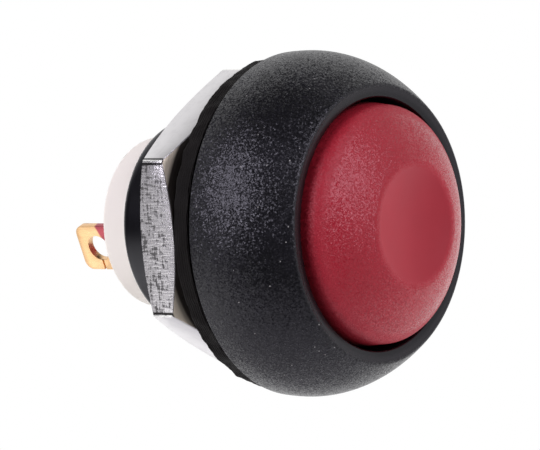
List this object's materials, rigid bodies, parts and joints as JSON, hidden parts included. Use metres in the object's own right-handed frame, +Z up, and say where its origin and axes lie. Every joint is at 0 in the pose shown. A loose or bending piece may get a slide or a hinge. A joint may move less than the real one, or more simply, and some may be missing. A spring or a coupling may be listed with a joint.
{
  "type": "pushbutton switch",
  "caption": "Sealed momentary pushbutton switch for a round panel hole: red dished button in a domed black bezel, threaded barrel with hexagon nut and rubber seal, solder lugs behind.",
  "frame": {"origin": "on the push axis, at the panel's front face, where the rubber seal's rear face sits", "axes": "+Y along the push axis from the button towards the terminals, so the button faces -Y; +Z up, +X to the right seen from the front"},
  "size_m": [0.018, 0.0203, 0.018],
  "materials": {
    "black_nylon": "fine spark-eroded texture",
    "red_cap": "fine satin grain",
    "seal_rubber": "matt",
    "nickel_plate": "nickel-plated brass, machined flats",
    "cream_plastic": "smooth satin",
    "red_resin": "glossy",
    "gold_plate": "gold-plated brass",
    "natural_acetal": "smooth satin",
    "spring_steel": "drawn wire",
    "silver_contact": "silver-plated copper alloy"
  },
  "bodies": {
    "housing": {"bezel_bushing": "black_nylon", "panel_seal": "seal_rubber", "o_ring_retainer": "spring_steel", "plunger_o_ring": "seal_rubber", "base_gasket": "seal_rubber", "base_insert": "cream_plastic", "epoxy_seal": "red_resin", "terminal_left": "gold_plate", "terminal_right": "gold_plate", "fixed_contact_left": "silver_contact", "fixed_contact_right": "silver_contact", "return_spring": "spring_steel"},
    "button": {"button_cap": "red_cap", "plunger": "natural_acetal", "stem_clip": "spring_steel", "contact_spring": "spring_steel"},
    "bridge": {"contact_bridge": "silver_contact", "moving_contact_left": "silver_contact", "moving_contact_right": "silver_contact"},
    "nut": {"hex_nut": "nickel_plate"}
  },
  "joints": [
    {"name": "button_press", "type": "slide", "parent": "housing", "child": "button", "axis": [0, 1, 0], "range_m": [0, 0.0016], "stiffness_N_per_m": 1500, "deforming": ["return_spring"]},
    {"name": "bridge_shift", "type": "slide", "parent": "button", "child": "bridge", "axis": [0, -1, 0], "range_m": [0, 0.0006], "deforming": ["contact_spring"]},
    {"name": "nut_turn", "type": "hinge", "parent": "housing", "child": "nut", "pos_m": [0, 0.0024, 0], "axis": [0, 1, 0], "continuous": true}
  ],
  "couplings": [
    {"joint": "bridge_shift", "follows": "button_press", "ratio": 0.375}
  ]
}
